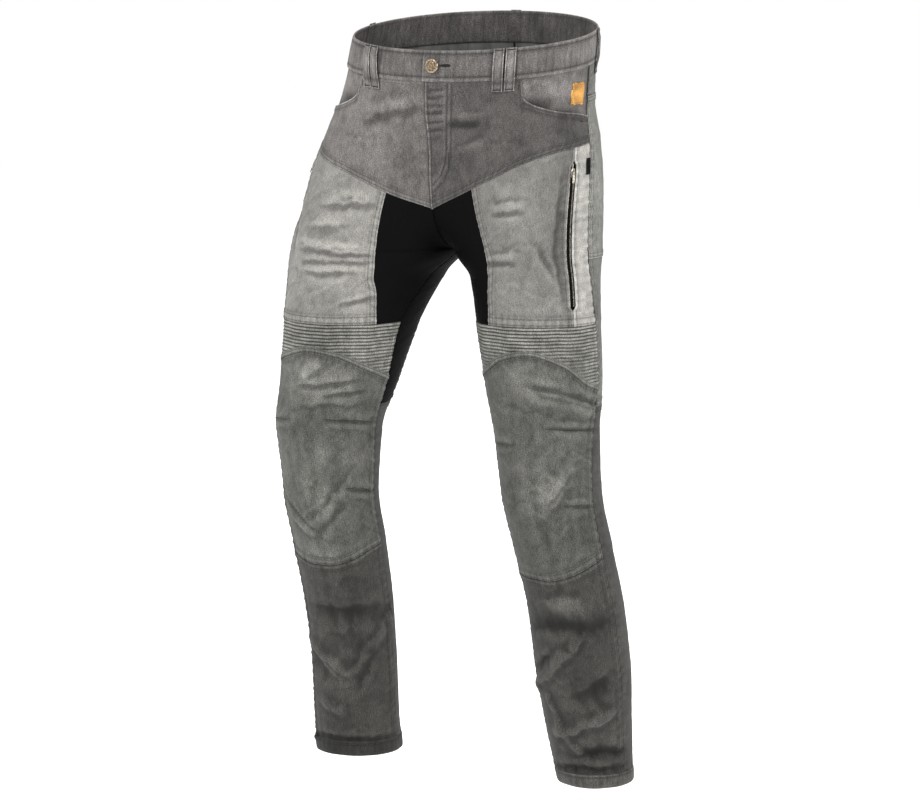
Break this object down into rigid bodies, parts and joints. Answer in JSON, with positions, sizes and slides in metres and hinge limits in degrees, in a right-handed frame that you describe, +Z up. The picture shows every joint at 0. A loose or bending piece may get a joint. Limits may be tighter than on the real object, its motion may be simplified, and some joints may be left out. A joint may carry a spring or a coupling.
{
  "type": "motorcycle trousers",
  "caption": "Grey denim motorcycle trousers with black stretch inserts, ribbed knee panels and zipped thigh pockets, filled out as if worn.",
  "frame": {"origin": "centre of the waist opening, level with the middle of the waistband's top edge", "axes": "+Z up, -Y towards the wearer's front, +X towards the wearer's left"},
  "size_m": [0.47, 0.3618, 1.0622],
  "materials": {
    "back_insert_left": "black stretch weave",
    "back_insert_right": "black stretch weave",
    "back_yoke_left": "grey denim",
    "back_yoke_right": "grey denim",
    "belt_loop_back": "grey denim",
    "belt_loop_left_1": "grey denim",
    "belt_loop_left_2": "grey denim",
    "belt_loop_left_3": "grey denim",
    "belt_loop_right_1": "grey denim",
    "belt_loop_right_2": "grey denim",
    "belt_loop_right_3": "grey denim",
    "button": "antique brass",
    "calf_back_left": "dark grey denim",
    "calf_back_right": "dark grey denim",
    "front_insert_left": "black stretch weave",
    "front_insert_right": "black stretch weave",
    "front_yoke_left": "grey faded denim",
    "front_yoke_right": "grey faded denim",
    "hem_left": "dark grey denim, turned hem",
    "hem_right": "dark grey denim, turned hem",
    "knee_panel_left": "grey worn denim",
    "knee_panel_right": "grey worn denim",
    "pocket_facing_left": "grey denim",
    "pocket_facing_right": "grey denim",
    "pocket_patch": "tan leather-like patch, plain",
    "ribbed_panel_left": "grey ribbed stretch panel",
    "ribbed_panel_right": "grey ribbed stretch panel",
    "seat_left": "grey denim",
    "seat_right": "grey denim",
    "shin_front_left": "dark grey denim",
    "shin_front_right": "dark grey denim",
    "side_tab": "black woven tab, plain",
    "thigh_back_left": "grey denim",
    "thigh_back_right": "grey denim",
    "thigh_front_left": "light worn grey denim",
    "thigh_front_right": "light worn grey denim",
    "thigh_side_left": "light worn grey denim",
    "thigh_side_right": "light worn grey denim",
    "waistband": "grey denim",
    "zip_pull_left": "antique brass",
    "zip_pull_right": "antique brass",
    "zip_slider_left": "antique brass",
    "zip_slider_right": "antique brass",
    "zip_tape_left": "black zip tape",
    "zip_tape_right": "black zip tape"
  },
  "bodies": {
    "trousers": {"back_insert_left": "back_insert_left", "back_insert_right": "back_insert_right", "back_yoke_left": "back_yoke_left", "back_yoke_right": "back_yoke_right", "belt_loop_back": "belt_loop_back", "belt_loop_left_1": "belt_loop_left_1", "belt_loop_left_2": "belt_loop_left_2", "belt_loop_left_3": "belt_loop_left_3", "belt_loop_right_1": "belt_loop_right_1", "belt_loop_right_2": "belt_loop_right_2", "belt_loop_right_3": "belt_loop_right_3", "button": "button", "calf_back_left": "calf_back_left", "calf_back_right": "calf_back_right", "front_insert_left": "front_insert_left", "front_insert_right": "front_insert_right", "front_yoke_left": "front_yoke_left", "front_yoke_right": "front_yoke_right", "hem_left": "hem_left", "hem_right": "hem_right", "knee_panel_left": "knee_panel_left", "knee_panel_right": "knee_panel_right", "pocket_facing_left": "pocket_facing_left", "pocket_facing_right": "pocket_facing_right", "pocket_patch": "pocket_patch", "ribbed_panel_left": "ribbed_panel_left", "ribbed_panel_right": "ribbed_panel_right", "seat_left": "seat_left", "seat_right": "seat_right", "shin_front_left": "shin_front_left", "shin_front_right": "shin_front_right", "side_tab": "side_tab", "thigh_back_left": "thigh_back_left", "thigh_back_right": "thigh_back_right", "thigh_front_left": "thigh_front_left", "thigh_front_right": "thigh_front_right", "thigh_side_left": "thigh_side_left", "thigh_side_right": "thigh_side_right", "waistband": "waistband", "zip_slider_left": "zip_slider_left", "zip_slider_right": "zip_slider_right", "zip_tape_left": "zip_tape_left", "zip_tape_right": "zip_tape_right"},
    "pull_left": {"zip_pull_left": "zip_pull_left"},
    "pull_right": {"zip_pull_right": "zip_pull_right"}
  },
  "joints": [
    {"name": "zip_pull_left_swing", "type": "hinge", "parent": "trousers", "child": "pull_left", "pos_m": [0.17193, -0.04272, -0.18041], "axis": [-0.4494, -0.873, 0.1896], "range_deg": [0, 150]},
    {"name": "zip_pull_right_swing", "type": "hinge", "parent": "trousers", "child": "pull_right", "pos_m": [-0.22578, -0.04828, -0.18047], "axis": [-0.5121, 0.8394, -0.1821], "range_deg": [0, 150]}
  ]
}
